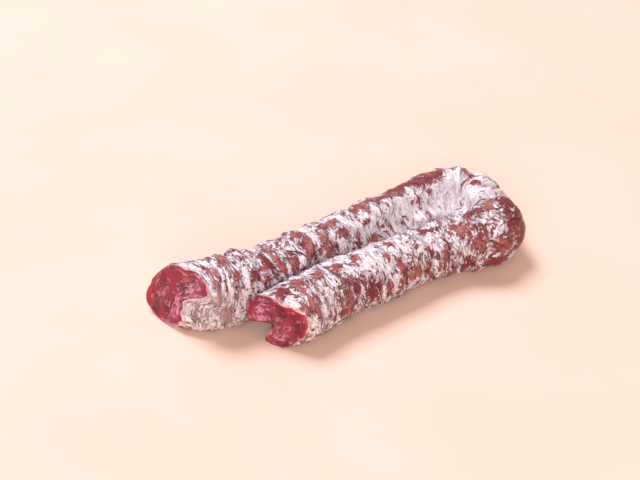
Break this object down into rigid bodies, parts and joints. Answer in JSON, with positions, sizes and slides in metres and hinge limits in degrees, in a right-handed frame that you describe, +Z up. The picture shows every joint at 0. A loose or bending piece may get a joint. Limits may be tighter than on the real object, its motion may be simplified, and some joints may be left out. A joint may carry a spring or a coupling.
{
  "type": "cured sausage",
  "caption": "Dry-cured sausage in a natural casing with white mould, bent double like a hairpin, both ends cut off.",
  "frame": {"origin": "centre of the bounding box on the table under the sausage", "axes": "+X along the two arms towards the bend, +Z up from the table"},
  "size_m": [0.2022, 0.0962, 0.036],
  "materials": {
    "casing": "dry natural casing over dark red meat, streaked with off-white mould"
  },
  "bodies": {
    "root": {"sausage": "casing"}
  },
  "joints": []
}
